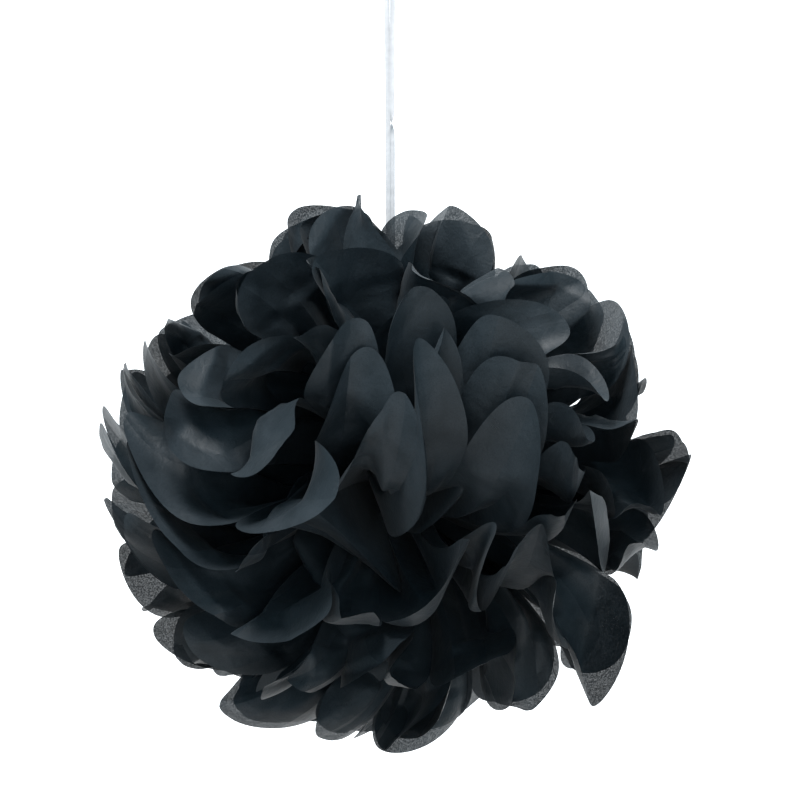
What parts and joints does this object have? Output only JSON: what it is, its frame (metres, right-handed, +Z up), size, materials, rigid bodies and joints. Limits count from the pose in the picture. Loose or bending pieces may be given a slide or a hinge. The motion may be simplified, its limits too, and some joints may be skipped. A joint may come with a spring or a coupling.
{
  "type": "hanging tissue-paper pom-pom",
  "caption": "Ball of pleated black tissue paper, tied at the middle and opened into round-ended petals, hung on a doubled white ribbon that ends in a loop.",
  "frame": {"origin": "inside the top of the ribbon's loop, where a hook carries it", "axes": "+Z up along the hanging ribbon, -Y towards the front as pictured, +X to its right"},
  "size_m": [0.4055, 0.3884, 0.5592],
  "materials": {
    "tissue": "matte, thin, lets light through at the edges",
    "thread": "matt black tape",
    "ribbon": "smooth white satin"
  },
  "bodies": {
    "root": {"tissue_sheet_1": "tissue", "tissue_sheet_2": "tissue", "tissue_sheet_3": "tissue", "tissue_sheet_4": "tissue", "tissue_sheet_5": "tissue", "tissue_sheet_6": "tissue", "tissue_sheet_7": "tissue", "tissue_sheet_8": "tissue", "tissue_sheet_9": "tissue", "centre_tie": "thread", "hanging_ribbon": "ribbon"}
  },
  "joints": []
}
